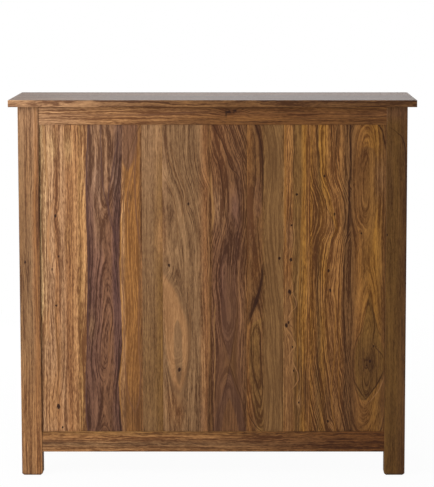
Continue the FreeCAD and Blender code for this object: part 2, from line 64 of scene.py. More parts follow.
# How much darker and lighter than its own tone the wood is in its late and its early rings.
LATE_WOOD = (0.42, 0.34, 0.29)
EARLY_WOOD = (1.64, 1.76, 1.82)


def linear(code, share=1.0):
    """A share of an sRGB hex colour as linear red, green, blue and alpha."""
    parts = [int(code[start:start + 2], 16) / 255 for start in (0, 2, 4)]
    return [share * (p / 12.92 if p <= 0.04045 else ((p + 0.055) / 1.055) ** 2.4) for p in parts] + [1.0]


def output(node):
    """The first output that a node has switched on."""
    return next(socket for socket in node.outputs if socket.enabled)


def add(tree, kind, inputs=None, **settings):
    """Adds a shader node with its settings, and gives its inputs their links and values."""
    new = tree.nodes.new("ShaderNode" + kind)
    for name, value in settings.items():
        setattr(new, name, value)
    for name, value in (inputs or {}).items():
        socket = new.inputs[name] if isinstance(name, int) else next(
            s for s in new.inputs if s.name == name and s.enabled)
        if isinstance(value, bpy.types.Node):
            value = output(value)
        if isinstance(value, bpy.types.NodeSocket):
            tree.links.new(value, socket)
        else:
            socket.default_value = value
    return new


def new_material(name):
    """A material with its tree and its shader, ready for a pattern."""
    material = bpy.data.materials.new(name)
    material.use_nodes = True
    return material, material.node_tree, material.node_tree.nodes["Principled BSDF"]


def feed(tree, node, name, source):
    """Gives one of a node's sockets what another node puts out."""
    tree.links.new(output(source), node.inputs[name])


def stretched_noise(tree, place, sizes, detail, shift=(0, 0, 0), roughness=0.5):
    """A noise with lumps of these sizes along X, Y and Z."""
    scaled = add(tree, "Mapping", {"Vector": place, "Location": shift, "Scale": [1 / size for size in sizes]})
    return add(tree, "TexNoise", {"Vector": scaled, "Scale": 1.0, "Detail": detail, "Roughness": roughness})


def blob(tree, place, centre, size, strength=1.0):
    """A soft mask: its strength at the centre, about a third at its size, and nothing far away."""
    local = add(tree, "Mapping", {"Vector": place, "Location": centre, "Scale": size}, vector_type="TEXTURE")
    square = add(tree, "VectorMath", {0: local, 1: local}, operation="DOT_PRODUCT")
    fall = add(tree, "Math", {0: square, 1: -1.0}, operation="MULTIPLY")
    mask = add(tree, "Math", {0: fall}, operation="EXPONENT")
    return add(tree, "Math", {0: mask, 1: strength}, operation="MULTIPLY")


def route(tree, up, points, wide):
    """A place across the grain, in mm, that follows points of height and place across, in per cent."""
    curve = add(tree, "FloatCurve", {"Value": up})
    line = curve.mapping.curves[0]
    while len(line.points) < len(points):
        line.points.new(0.5, 0.5)
    for point, (height, across) in zip(line.points, sorted(points)):
        point.location = (height / WHOLE, across / WHOLE)
    curve.mapping.update()
    return add(tree, "Math", {0: curve, 1: wide}, operation="MULTIPLY")


def overlay(tree, colour, tone, mask):
    """Lays one of the tones over a colour, as far as a mask says."""
    return add(tree, "Mix", {"Factor": mask, "A": colour, "B": linear(TONES[tone])}, data_type="RGBA")


# Sheesham is Indian rosewood, planed, sanded and finished with a satin lacquer. To the eye, its rings
# give long wavy lines, dark heartwood lies in bands beside pale sapwood, its pores are short dark
# dashes, and the lacquer gives a soft sheen. The pith lies this far beside its flow, in mm, and uneven is
# how lopsided the rings round it are. A pattern is its size across the grain in mm, and its strength. Real
# pores are 0.2 mm wide and fibres finer still, so the dashes and the fibre are drawn coarser than that, to
# show. Wave and wiggle are how far the grain wanders, in mm. Rough is the lacquer's roughness between the
# fibres and on them. Darker paints shade on faces along an axis: its axis, and its share of the colour.
LOOK = {
    "zones": ((0, "brown"), (100, "orange")),
    "pith": -150.0,
    "flow": ((0, 0), (100, 0)),
    "depth": ((0, 80), (100, 80)),
    "uneven": 0.25,
    "bands": (),
    "veins": (),
    "knots": (),
    "stains_and_painted_shading": (),
    "lines": (3.2, 2.8),
    "cloud": (30.0, 1.0),
    "dashes": (3.2, 0.9),
    "fibre": (2.2, 1.2),
    "ink": (9.0, 0.5),
    "wave": 3.0,
    "wiggle": 1.0,
    "gloss": 0.18,
    "rough": (0.5, 0.38),
    "darker": (),
}

# How far the patterns run into the grain and along it, in mm, and the detail of their noise. What has
# no depth of its own is as deep as it is wide.
STREAKS = {
    "lines": (70.0, 260.0, 3.0),
    "cloud": (90.0, 200.0, 1.0),
    "dashes": (None, 21.0, 1.0),
    "fibre": (None, 12.0, 3.0),
}
STREAK_ROUGHNESS = 0.7
INK_DEPTH = 80.0
INK_LENGTH = 520.0
INK_DETAIL = 1.0
INK_WIDTH = 0.09

# The grain's slow wander and its fine waver: across and along the grain, in mm. A noise seldom strays
# past a quarter from its middle, so a span of four gives the reach that a look asks for.
WANDER = (45.0, 210.0)
WAVER = (9.0, 32.0)
WANDER_DETAIL = 2.0
NOISE_SPAN = 4.0

# The middle of a noise, and of light and dark.
MIDDLE = 0.5

# Each piece's patterns start at a place of their own in the noise: its seed times a step, within a span.
SEED_STEPS = ((17.3, 97), (29.1, 89), (41.7, 83))

# The pith lies at most this deep under the face, in mm.
DEEPEST_PITH = 60.0

# A knot's rings bulge in proportion to its size, and its dark core has a ragged edge.
BULGE_WIDTH = 3.4
BULGE_LENGTH = 9.0
BULGE = 2.4
KNOT_LENGTH = 1.5
KNOT_DEPTH = 60.0
RAGGED = 1.4
CORE = (1.0, 1.35)
STAIN_DEPTH = 300.0

# A vein fades at its sides over this many half widths, and at its tips over per cents of the height,
# unless it runs out past the end of the board.
VEIN_EDGE = 1.6
TIP_START = 1
TIP_LENGTH = 2
OPEN_END = 2

# Cut ends drink more lacquer and keep this share of their colour. The share comes in between these two
# cosines of the angle from the grain.
CUT_END = 0.55
TURNED = (0.75, 0.95)

# The fibre's noise mostly stays in this range. It makes the lacquer uneven and gives the surface relief.
FIBRE_RANGE = (0.3, 0.7)
LACQUER_IOR = 1.5
RELIEF = 0.2 * MM
RELIEF_STRENGTH = 0.5

# The order in which an object's own X, Y and Z run across, into and along the grain.
UPRIGHT = "XYZ"
UPRIGHT_DEEP = "YXZ"
CROSS = "ZYX"
CROSS_DEEP = "ZXY"
FLAT = "YZX"


def own_place(tree, coordinates, corner, axes):
    """The place across, into and along a piece's grain, in mm from its corner."""
    own = add(tree, "Mapping", {"Vector": coordinates.outputs["Object"], "Scale": (PER_METRE,) * 3,
                                "Location": [-c for c in corner]})
    parts = add(tree, "SeparateXYZ", {0: own})
    return add(tree, "CombineXYZ", {i: parts.outputs[axis] for i, axis in enumerate(axes)})


def wandering(tree, place, shift, look):
    """A place, moved to the side as the grain wanders slowly and wavers finely."""
    for (lattice, length), reach in ((WANDER, look["wave"]), (WAVER, look["wiggle"])):
        noise = stretched_noise(tree, place, (lattice, lattice, length), WANDER_DETAIL, shift)
        span = NOISE_SPAN * reach
        offset = add(tree, "VectorMath", {0: noise.outputs["Color"], 1: (span, 0, 0),
                                          2: (-span * MIDDLE, 0, 0)}, operation="MULTIPLY_ADD")
        place = add(tree, "VectorMath", {0: place, 1: offset}, operation="ADD")
    return place


def ring_place(tree, place, parts, up, wide, look):
    """The place by rings: how far from the pith, how far round it and how far along it.

    Where the pith comes nearer to the face, the rings make ovals and arches. Knots push them aside."""
    side = add(tree, "Math", {0: parts.outputs["X"], 1: route(tree, up, look["flow"], wide)},
               operation="SUBTRACT")
    side = add(tree, "Math", {0: side, 1: look["pith"]}, operation="SUBTRACT")
    deep = add(tree, "Math", {0: parts.outputs["Y"], 1: route(tree, up, look["depth"], DEEPEST_PITH)},
               operation="ADD")
    spread = add(tree, "CombineXYZ", {0: side, 1: deep})
    radius = add(tree, "VectorMath", {0: spread}, operation="LENGTH")
    radius = add(tree, "Math", {0: side, 1: look["uneven"], 2: radius}, operation="MULTIPLY_ADD")
    for across, height, reach in look["knots"]:
        mask = blob(tree, place, (across, 0, height),
                    (BULGE_WIDTH * reach, KNOT_DEPTH, BULGE_LENGTH * reach), strength=BULGE * reach)
        radius = add(tree, "Math", {0: radius, 1: mask}, operation="ADD")
    around = add(tree, "Math", {0: parts.outputs["Y"], 1: side}, operation="ADD")
    return add(tree, "CombineXYZ", {0: radius, 1: around, 2: parts.outputs["Z"]})


def light_and_dark(tree, place, rings, shift, look):
    """How light the wood is, from 0 to 1, by its rings, clouds, pores and fibres, and the fibres' noise."""
    shade = MIDDLE
    for key, source in (("lines", rings), ("cloud", rings), ("dashes", place), ("fibre", place)):
        lattice, strength = look[key]
        into, length, detail = STREAKS[key]
        sizes = (lattice, into or lattice, length)
        noise = stretched_noise(tree, source, sizes, detail, shift, STREAK_ROUGHNESS)
        centred = add(tree, "Math", {0: noise.outputs[0], 1: strength, 2: -strength * MIDDLE},
                      operation="MULTIPLY_ADD")
        shade = add(tree, "Math", {0: centred, 1: shade}, operation="ADD")
    fibre = noise

    # Thin dark lines follow single rings.
    lattice, strength = look["ink"]
    noise = stretched_noise(tree, rings, (lattice, INK_DEPTH, INK_LENGTH), INK_DETAIL, shift)
    off = add(tree, "Math", {0: noise.outputs[0], 1: MIDDLE}, operation="SUBTRACT")
    off = add(tree, "Math", {0: off}, operation="ABSOLUTE")
    thin = add(tree, "MapRange", {"Value": off, "From Min": 0.0, "From Max": INK_WIDTH,
                                  "To Min": -strength, "To Max": 0.0}, interpolation_type="SMOOTHSTEP")
    return add(tree, "Math", {0: shade, 1: thin}, operation="ADD", use_clamp=True), fibre


def zone_colour(tree, parts, wide, zones):
    """The tones that lie side by side across the width."""
    share = add(tree, "Math", {0: parts.outputs["X"], 1: wide}, operation="DIVIDE")
    colour = add(tree, "ValToRGB", {"Fac": share})
    elements = colour.color_ramp.elements
    while len(elements) < len(zones):
        elements.new(1.0)
    for element, (edge, tone) in zip(elements, zones):
        element.position = edge / WHOLE
        element.color = linear(TONES[tone])
    return colour


def band_mask(tree, parts, up, wide, strength, soft, left, right):
    """A mask between two routes, each with a soft edge."""
    sides = []
    for points, sign in ((left, 1), (right, -1)):
        inside = add(tree, "Math", {0: parts.outputs["X"], 1: route(tree, up, points, wide)},
                     operation="SUBTRACT")
        sides.append(add(tree, "MapRange", {"Value": inside, "From Min": -sign * soft,
                                            "From Max": sign * soft}, interpolation_type="SMOOTHSTEP"))
    both = add(tree, "Math", {0: sides[0], 1: sides[1]}, operation="MULTIPLY")
    return add(tree, "Math", {0: both, 1: strength}, operation="MULTIPLY")


def vein_mask(tree, parts, up, wide, strength, half_width, points):
    """A mask along one route, thinner towards its tips."""
    off = add(tree, "Math", {0: parts.outputs["X"], 1: route(tree, up, points, wide)},
              operation="SUBTRACT")
    off = add(tree, "Math", {0: off}, operation="ABSOLUTE")
    mask = add(tree, "MapRange", {"Value": off, "From Max": VEIN_EDGE * half_width, "To Min": strength,
                                  "To Max": 0.0}, interpolation_type="SMOOTHSTEP")
    for end, sign in ((min(points)[0], 1), (max(points)[0], -1)):
        if OPEN_END < end < WHOLE - OPEN_END:
            tip = add(tree, "MapRange", {"Value": up, "From Min": (end - sign * TIP_START) / WHOLE,
                                         "From Max": (end + sign * TIP_LENGTH) / WHOLE})
            mask = add(tree, "Math", {0: mask, 1: tip}, operation="MULTIPLY")
    return mask


def knot_mask(tree, place, fibre, across, height, reach):
    """A mask with a ragged edge round a knot's core."""
    mask = blob(tree, place, (across, 0, height), (reach, KNOT_DEPTH, KNOT_LENGTH * reach))
    mask = add(tree, "Math", {0: fibre.outputs[0], 1: RAGGED, 2: mask}, operation="MULTIPLY_ADD")
    return add(tree, "MapRange", {"Value": mask, "From Min": CORE[0], "From Max": CORE[1]},
               interpolation_type="SMOOTHSTEP")


def darker_facing(tree, coordinates, colour, axis, scale):
    """A colour that is darker where the surface faces along an axis."""
    towards = [float(axis == a) for a in "XYZ"]
    facing = add(tree, "VectorMath", {0: coordinates.outputs["Normal"], 1: towards}, operation="DOT_PRODUCT")
    facing = add(tree, "Math", {0: facing}, operation="ABSOLUTE")
    shaded = add(tree, "MapRange", {"Value": facing, "From Min": TURNED[0], "From Max": TURNED[1],
                                    "To Min": 1.0, "To Max": scale})
    return add(tree, "VectorMath", {0: colour, "Scale": shaded}, operation="SCALE")


def planed_wood(name, corner, size, axes, seed, look):
    """Wood in a pattern of its own, measured in mm from a corner. Size is its width and length."""
    look = {**LOOK, **look}
    wide, long = size
    shift = [seed * step % span for step, span in SEED_STEPS]
    material, tree, shader = new_material(name)
    coordinates = add(tree, "TexCoord")
    place = wandering(tree, own_place(tree, coordinates, corner, axes), shift, look)
    parts = add(tree, "SeparateXYZ", {0: place})
    up = add(tree, "Math", {0: parts.outputs["Z"], 1: long}, operation="DIVIDE")
    rings = ring_place(tree, place, parts, up, wide, look)
    shade, fibre = light_and_dark(tree, place, rings, shift, look)

    # Bands, then stains, lie over the zones. Some stains are painted light and shade.
    # A calm band keeps the tone and has fainter lines.
    colour = zone_colour(tree, parts, wide, look["zones"])
    for tone, strength, soft, left, right in look["bands"]:
        mask = band_mask(tree, parts, up, wide, strength, soft, left, right)
        if tone == "calm":
            shade = add(tree, "Mix", {"Factor": mask, "A": shade, "B": MIDDLE})
        else:
            colour = overlay(tree, colour, tone, mask)
    for across, height, half_width, half_height, tone, strength in look["stains_and_painted_shading"]:
        mask = blob(tree, place, (across, 0, height), (half_width, STAIN_DEPTH, half_height), strength)
        colour = overlay(tree, colour, tone, mask)
    late = add(tree, "VectorMath", {0: colour, 1: LATE_WOOD}, operation="MULTIPLY")
    early = add(tree, "VectorMath", {0: colour, 1: EARLY_WOOD}, operation="MULTIPLY")
    colour = add(tree, "Mix", {"Factor": shade, "A": late, "B": early}, data_type="RGBA")

    # Veins are drawn one by one, and knots are darkest.
    for tone, strength, half_width, points in look["veins"]:
        mask = vein_mask(tree, parts, up, wide, strength, half_width, points)
        colour = overlay(tree, colour, tone, mask)
    for across, height, reach in look["knots"]:
        colour = overlay(tree, colour, "knot", knot_mask(tree, place, fibre, across, height, reach))
    # Cut ends are darker under any light. The faces listed as darker get painted shade.
    for axis, scale in ((axes[2], CUT_END), *look["darker"]):
        colour = darker_facing(tree, coordinates, colour, axis, scale)
    feed(tree, shader, "Base Color", colour)

    rough = add(tree, "MapRange", {"Value": fibre.outputs[0], "From Min": FIBRE_RANGE[0],
                                   "From Max": FIBRE_RANGE[1], "To Min": look["rough"][0],
                                   "To Max": look["rough"][1]})
    feed(tree, shader, "Roughness", rough)
    shader.inputs["IOR"].default_value = LACQUER_IOR
    shader.inputs["Specular IOR Level"].default_value = look["gloss"]
    bump = add(tree, "Bump", {"Height": fibre.outputs[0], "Strength": RELIEF_STRENGTH, "Distance": RELIEF})
    feed(tree, shader, "Normal", bump)
    return material


def dress(piece, material):
    """Gives a CAD node's slots a material."""
    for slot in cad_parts[piece].material_slots:
        slot.material = material


# Board 2's heartwood ends here, on the right, in per cent up and across.
HEARTWOOD_EDGE = (
    (0, 66), (6, 63), (12, 61), (17, 60), (24, 66), (40, 66), (50, 66), (65, 63), (75, 66), (90, 69),
    (100, 70),
)

# The nine boards of the front, from the left, and then the posts, the rails and the top. Each figure is
# placed after the photo. A route is points of height, from the foot, and of place across, from the
# left, both in per cent. In a rail and in the top, left counts as the foot. A zone is where across its tone
# is pure. Flow and depth are the pith's routes. A band is tone, strength, softness in mm, left route and
# right route. A vein is tone, strength, half width in mm and route. A knot is across, up and size, and a
# stain is across, up, half width, half height, all in mm, tone and strength.
# Some stains are painted light and shade, and each of these is marked where it stands.
FRONT_BOARDS = {
    1: {
        "zones": (
            (0, "tan"), (33, "tan"), (40, "orange"), (55, "tan"), (70, "orange"), (92, "golden"),
            (98, "straw"), (100, "straw"),
        ),
        "lines": (2.8, 2.1), "cloud": (24.0, 0.6), "dashes": (3.2, 1.4), "wave": 3.5, "wiggle": 1.5,
        "veins": (
            ("golden", 0.9, 4.0, ((55, 27), (63, 21), (69, 23), (75, 34))),
            ("ink", 0.7, 1.5, ((69.4, 36), (71.5, 43))),
            ("umber", 0.6, 1.5, ((50, 52), (58, 46), (66, 36), (70, 30))),
            ("straw", 0.6, 3.0, ((78, 20), (86, 16), (99, 10))),
            ("golden", 0.7, 3.0, ((30, 22), (36, 20), (42, 25))),
            ("brown", 0.7, 2.5, ((10, 36), (20, 42), (33, 38), (46, 40))),
            ("umber", 0.5, 1.5, ((83, 56), (90, 60), (99, 58))),
            ("umber", 0.45, 1.5, ((5, 62), (25, 55), (50, 58))),
        ),
        "knots": (
            (47, 634, 3.6), (52, 516, 2.7), (35, 478, 3.0), (47, 74, 6.0), (59, 12, 3.0), (45, 372, 2.2),
        ),
        "stains_and_painted_shading": (
            # The two pale mango stains at the left edge paint light over the left post's shadow.
            (2, 700, 14, 320, "pale mango", 0.8), (2, 350, 12, 80, "pale mango", 0.7),
            (82, 850, 10, 50, "straw", 0.5), (82, 571, 10, 50, "straw", 0.5),
            (52, 235, 14, 70, "brown", 0.45), (30, 60, 18, 60, "cinnamon", 0.5),
            (98, 870, 14, 50, "orange", 0.5), (38, 834, 14, 45, "pale mango", 0.5),
            (84, 834, 12, 45, "pale mango", 0.5), (10, 311, 12, 45, "golden", 0.8),
            (38, 136, 12, 45, "cinnamon", 0.45), (61, 49, 12, 45, "orange", 0.4),
            # The cinnamon stain 90 mm up paints shade: the board darkens towards its foot.
            (8, 136, 10, 50, "golden", 0.6), (30, 90, 22, 90, "cinnamon", 0.45),
            (106, 790, 9, 70, "orange", 0.5),
        ),
    },
    2: {
        "zones": (
            (0, "straw"), (10, "golden"), (70, "golden"), (74, "amber"), (93, "amber"), (98, "brown"),
            (100, "orange"),
        ),
        "dashes": (3.2, 1.4), "pith": 0.0,
        "flow": ((0, 38), (15, 39), (30, 42), (38, 47), (55, 46), (73, 45), (85, 53), (100, 53)),
        "depth": ((0, 10), (12, 35), (28, 5), (45, 25), (63, 50), (80, 25), (100, 5)),
        "bands": (
            ("purple", 1.0, 1.2,
             ((0, 9), (7, 8), (11, 6), (16, 8), (30, 10), (40, 11), (55, 12), (70, 9), (85, 10), (100, 14)),
             HEARTWOOD_EDGE),
            ("plum", 0.75, 4.0, ((0, 56), (50, 53), (75, 54), (100, 60)),
             HEARTWOOD_EDGE),
            ("calm", 0.35, 3.0, ((0, 70), (100, 72)), ((0, 97), (100, 97))),
            ("plum", 0.4, 4.0, ((0, 9), (30, 11), (70, 10), (100, 14)),
             ((0, 20), (30, 24), (70, 22), (100, 26))),
            ("chestnut", 0.7, 5.0, ((0, 30), (30, 34), (60, 36), (100, 30)),
             ((0, 50), (30, 52), (60, 50), (100, 56))),
            ("purple", 0.8, 5.0, ((85, 78), (93, 66), (100, 66)), ((85, 78), (93, 92), (100, 95))),
        ),
        "veins": (
            ("plum", 0.9, 2.2, ((0, 10), (11, 7), (30, 11), (55, 13), (80, 11), (100, 15))),
            ("plum", 0.8, 2.2, ((62, 56), (72, 47), (80, 38), (99, 34))),
            ("plum", 0.8, 2.2, ((50, 60), (62, 58), (73, 45), (85, 53), (95, 64))),
            ("ink", 0.5, 1.5, ((30, 61), (50, 60), (62, 57))),
            ("orange", 0.6, 1.5, ((20, 45), (30, 46), (38, 50))),
            ("chestnut", 0.9, 2.4, ((60, 98), (70, 91), (82, 88), (92, 91))),
            ("umber", 0.8, 2.0, ((60, 68), (77, 71), (86, 76), (93, 84), (99, 96))),
            ("chestnut", 0.7, 1.8, ((70, 80), (76, 77), (82, 82), (88, 90))),
            ("chestnut", 0.8, 2.0, ((6, 86), (16, 73), (40, 70), (60, 68))),
            ("chestnut", 0.8, 2.0, ((6, 86), (14, 95), (30, 93), (50, 96))),
            ("honey", 0.8, 1.6, ((4, 66), (17, 62), (30, 68), (55, 65), (70, 66))),
        ),
        "stains_and_painted_shading": (
            # The wide umber stain at the foot paints shade: the board darkens towards its foot.
            (150, 50, 30, 60, "umber", 0.5), (90, 0, 300, 260, "umber", 0.35),
            (60, 880, 90, 160, "grey brown", 0.35), (146, 690, 4, 14, "umber", 0.8),
            (56, 800, 26, 140, "tan", 0.6), (55, 610, 14, 60, "tan", 0.4), (124, 485, 12, 60, "brown", 0.7),
            (4, 610, 10, 60, "cinnamon", 0.6), (104, 440, 8, 50, "plum", 0.6),
            (122, 60, 10, 60, "umber", 0.4), (9, 560, 10, 45, "cinnamon", 0.5),
            (9, 834, 10, 45, "golden", 0.6), (9, 224, 8, 45, "orange", 0.5),
            (32, 311, 10, 45, "grey brown", 0.5), (55, 750, 14, 60, "ash", 0.6),
            (101, 747, 12, 50, "ash", 0.35), (101, 398, 12, 45, "plum", 0.35),
            (101, 49, 14, 50, "plum", 0.4),
        ),
    },
    3: {
        "zones": ((0, "grey brown"), (50, "grey brown"), (100, "olive")), "lines": (4.0, 1.5),
        "cloud": (30.0, 0.5), "dashes": (3.2, 0.7), "ink": (9.0, 0.12),
        "veins": (("golden", 0.7, 1.4, ((18, 40), (20, 42))), ("golden", 0.6, 1.2, ((5, 33), (8, 32)))),
        "stains_and_painted_shading": (
            (30, 150, 60, 260, "moss", 0.5), (30, 900, 60, 200, "tan", 0.35),
            (54, 575, 12, 60, "golden", 0.6), (50, 860, 10, 50, "tan", 0.5),
        ),
    },
    4: {
        "zones": ((0, "grey brown"), (75, "grey brown"), (90, "orange"), (100, "brown")),
        "lines": (3.4, 2.3), "dashes": (3.2, 0.8), "ink": (8.0, 0.25), "pith": 0.0,
        "flow": ((0, 36), (15, 36), (30, 32), (45, 30), (60, 36), (75, 24), (90, 0), (100, 0)),
        "depth": ((0, 60), (14, 50), (36, 5), (50, 30), (70, 50), (100, 70)),
        "bands": (
            ("golden", 0.75, 8.0, ((13, 34), (20, 16), (30, 6), (40, 2), (50, 0)),
             ((13, 34), (20, 47), (30, 52), (40, 40), (50, 10))),
            ("calm", 0.5, 5.0, ((10, 30), (20, 14), (40, 6), (50, 0)),
             ((10, 40), (20, 52), (30, 58), (40, 46), (50, 20))),
            ("grey brown", 0.9, 2.5, ((17, 30), (22, 25), (34, 24), (37, 30)),
             ((17, 36), (22, 40), (34, 36), (37, 30))),
            ("umber", 0.9, 2.0, ((0, 94), (10, 93), (22, 98), (30, 100)), ((0, 100), (30, 100))),
            ("golden", 0.7, 2.0, ((6, 84), (20, 81), (34, 83)), ((6, 86), (20, 91), (34, 86))),
        ),
        "veins": (
            ("brown", 0.7, 1.6, ((68, 42), (78, 38), (86, 22), (92, 4))),
            ("brown", 0.6, 1.4, ((70, 52), (80, 44), (88, 28), (95, 10))),
            ("brown", 0.6, 1.4, ((62, 34), (72, 30), (80, 16), (84, 4))),
            ("brown", 0.6, 1.4, ((14, 36), (24, 52), (36, 56), (50, 52))),
            ("brown", 0.5, 1.4, ((40, 72), (60, 74), (80, 70), (98, 72))),
            ("golden", 0.6, 1.8, ((50, 96), (60, 98), (70, 95), (80, 97))),
        ),
        "knots": ((76, 669, 3.6), (20, 490, 3.9), (47, 183, 4.5)),
        "stains_and_painted_shading": (
            (2, 575, 12, 60, "golden", 0.5), (26, 70, 22, 60, "cinnamon", 0.5),
            (5, 720, 11, 170, "tan", 0.5), (46, 49, 12, 45, "cinnamon", 0.5),
            (116, 49, 12, 45, "chestnut", 0.5),
        ),
    },
    5: {
        "zones": (
            (0, "brown"), (8, "chestnut"), (30, "chestnut"), (60, "brown"), (80, "chestnut"),
            (100, "brown"),
        ),
        "dashes": (3.2, 1.5), "ink": (7.0, 0.6), "pith": 0.0,
        "flow": ((0, 50), (20, 50), (40, 50), (50, 42), (60, 50), (72, 68), (82, 64), (92, 40), (100, 20)),
        "depth": ((0, 10), (8, 5), (24, 42), (40, 12), (50, 15), (70, 35), (100, 50)),
        "bands": (
            ("calm", 0.5, 5.0, ((0, 6), (25, 20), (45, 30), (55, 50)),
             ((0, 94), (25, 80), (45, 72), (55, 50))),
            ("straw", 0.9, 1.5, ((68, 2), (82, 0)), ((68, 2), (73, 13), (76, 8), (82, 0))),
            ("violet", 0.5, 4.0, ((23, 50), (30, 36), (40, 26), (50, 22), (65, 40), (80, 45), (97, 25)),
             ((23, 50), (30, 62), (40, 70), (50, 72), (65, 80), (80, 80), (97, 70))),
            ("violet", 0.65, 3.0, ((0, 2), (8, 20), (15, 38), (21, 50)),
             ((0, 98), (8, 84), (15, 66), (21, 50))),
            ("orange", 0.75, 3.0, ((0, 28), (6, 36), (11, 50)), ((0, 78), (6, 66), (11, 50))),
        ),
        "veins": (
            ("ink", 0.75, 2.0, ((76, 83), (82, 80), (86, 57), (90, 46), (94, 33), (98, 16))),
            ("ink", 0.6, 1.6, ((88, 94), (91, 75), (95, 62), (99, 45))),
            ("ink", 0.6, 1.6, ((64, 61), (68, 46), (75, 39), (82, 31), (88, 23), (94, 8))),
            ("ink", 0.5, 1.6, ((26, 46), (33, 30), (45, 20), (52, 16), (60, 28), (70, 25), (80, 12))),
            ("ink", 0.5, 1.6, ((22, 50), (30, 62), (42, 74), (60, 72), (75, 78))),
            ("ink", 0.5, 1.6, ((2, 16), (10, 30), (16, 42), (22, 50))),
            ("ink", 0.6, 1.8, ((4, 98), (10, 86), (16, 68), (22, 50))),
            ("straw", 1.0, 3.4, ((66, 2), (72, 7), (77, 4), (84, 0))),
            ("straw", 0.8, 1.5, ((10, 8), (20, 12), (32, 10), (42, 12))),
            ("golden", 0.6, 1.3, ((20, 82), (35, 84), (50, 80), (56, 82))),
        ),
        "stains_and_painted_shading": (
            # The wide umber stain at the foot paints shade: the board darkens towards its foot.
            (55, 0, 300, 240, "umber", 0.4), (55, 860, 300, 260, "brown", 0.5),
            (25, 850, 40, 160, "orange", 0.6), (22, 655, 16, 50, "tan", 0.7),
            (70, 659, 12, 45, "violet", 0.6), (46, 49, 14, 45, "umber", 0.5),
        ),
    },
    6: {
        "zones": ((0, "russet"), (20, "brown"), (40, "brown"), (46, "olive"), (100, "olive")),
        "lines": (3.4, 1.8), "dashes": (3.2, 1.0), "pith": 0.0,
        "flow": ((0, 45), (15, 36), (27, 30), (36, 30), (50, 20), (70, 10), (85, 20), (100, 5)),
        "depth": ((0, 50), (10, 25), (26.5, 3), (36, 20), (50, 40), (100, 50)),
        "bands": (
            ("calm", 0.4, 4.0, ((0, 46), (36, 46), (50, 50), (100, 46)), ((0, 98), (100, 98))),
            ("grey brown", 0.35, 6.0, ((84, 45), (100, 45)), ((84, 100), (100, 100))),
            ("chestnut", 0.6, 4.0, ((70, 30), (76, 18), (82, 25)), ((70, 30), (76, 40), (82, 34))),
            ("ink", 0.85, 1.8, ((33, 14), (36, 2), (40, 6), (45, 17), (50, 31), (54.5, 42), (58, 52)),
             ((33, 0), (36, 6), (40, 22), (45, 35), (50, 43), (54.5, 44), (58, 38))),
            ("brown", 0.8, 3.0, ((36, 0), (50, 0), (62, 0)), ((36, 4), (45, 30), (52, 42), (62, 30))),
            ("olive", 0.9, 3.0, ((6, 20), (20, 5), (30, 5), (36, 20)),
             ((6, 45), (20, 38), (30, 36), (36, 40))),
        ),
        "veins": (
            ("ink", 0.9, 2.2, ((74, 40), (82, 43), (88, 42), (93, 38), (99, 26))),
            ("ink", 0.95, 3.6, ((37, 5), (41, 19), (45.5, 31), (50, 40), (54, 43))),
            ("ink", 0.8, 1.7, ((12, 44), (17, 42), (24, 38), (30, 38))),
            ("ink", 0.7, 1.8, ((8, 42), (14, 30), (22, 14), (30, 12), (34, 22), (35.5, 36))),
            ("ink", 0.9, 2.0, ((0, 42), (1, 30), (3, 14), (6, 0))),
            ("umber", 0.5, 2.5, ((20, 86), (30, 93), (40, 88))),
        ),
        "knots": ((92, 510, 3.6),),
        "stains_and_painted_shading": (
            (4, 640, 14, 80, "tan", 0.6), (26, 480, 12, 50, "russet", 0.5),
            (12, 615, 11, 80, "orange", 0.5),
        ),
    },
    7: {
        "zones": (
            (0, "straw"), (10, "russet"), (28, "russet"), (40, "olive"), (60, "olive"), (75, "honey"),
            (100, "russet"),
        ),
        "lines": (2.8, 3.8), "dashes": (3.2, 1.4), "ink": (7.0, 0.5), "wave": 4.5, "wiggle": 1.2,
        "bands": (
            ("calm", 0.3, 4.0, ((0, 10), (40, 5), (60, 30), (100, 42)),
             ((0, 50), (40, 45), (60, 62), (100, 70))),
            ("grey brown", 0.4, 5.0, ((4, 10), (20, 2), (40, 5), (50, 15)),
             ((4, 30), (20, 36), (40, 30), (50, 20))),
        ),
        "veins": (
            ("umber", 0.8, 1.6, ((55, 20), (65, 22), (80, 30), (90, 38), (99, 35))),
            ("honey", 0.8, 1.8, ((60, 12), (70, 10), (85, 8), (99, 10))),
            ("honey", 0.8, 1.8, ((10, 50), (25, 52), (40, 60), (60, 62), (80, 75), (99, 80))),
            ("umber", 0.8, 1.6, ((2, 50), (10, 62), (20, 50), (40, 42))),
            ("umber", 0.6, 1.4, ((5, 86), (25, 80), (45, 90), (70, 85), (90, 90))),
            ("umber", 0.5, 1.2, ((20, 20), (30, 28), (38, 20), (50, 30))),
            ("golden", 0.8, 1.8, ((24.5, 16), (27, 30), (28.5, 44), (30, 36), (33, 20))),
            ("golden", 0.8, 1.8, ((14, 30), (16, 46), (18, 54), (20.5, 44), (23.5, 28))),
            ("golden", 0.7, 1.6, ((36.5, 12), (40, 34), (42, 50), (45, 40), (50, 30))),
            ("ink", 0.6, 1.2, ((43, 14), (45.5, 30), (47, 46), (49, 40), (53, 28))),
            ("umber", 0.8, 1.5, ((4, 40), (8, 72), (12, 80), (16, 74), (22, 66))),
            ("straw", 0.6, 1.5, ((8, 60), (10.5, 52), (13, 60), (16, 66))),
        ),
        "knots": (
            (38, 696, 2.7), (24, 607, 2.7), (22, 507, 4.2), (20, 412, 5.5), (8, 314, 5.0), (15, 322, 3.6),
            (44, 86, 2.4), (24, 250, 2.4), (28, 180, 2.4),
        ),
        "stains_and_painted_shading": (
            (64, 150, 12, 50, "umber", 0.5), (20, 572, 11, 45, "tan", 0.45),
            (43, 311, 11, 45, "honey", 0.5), (66, 90, 11, 80, "umber", 0.5), (44, 86, 9, 14, "golden", 0.6),
        ),
    },
    8: {
        "zones": (
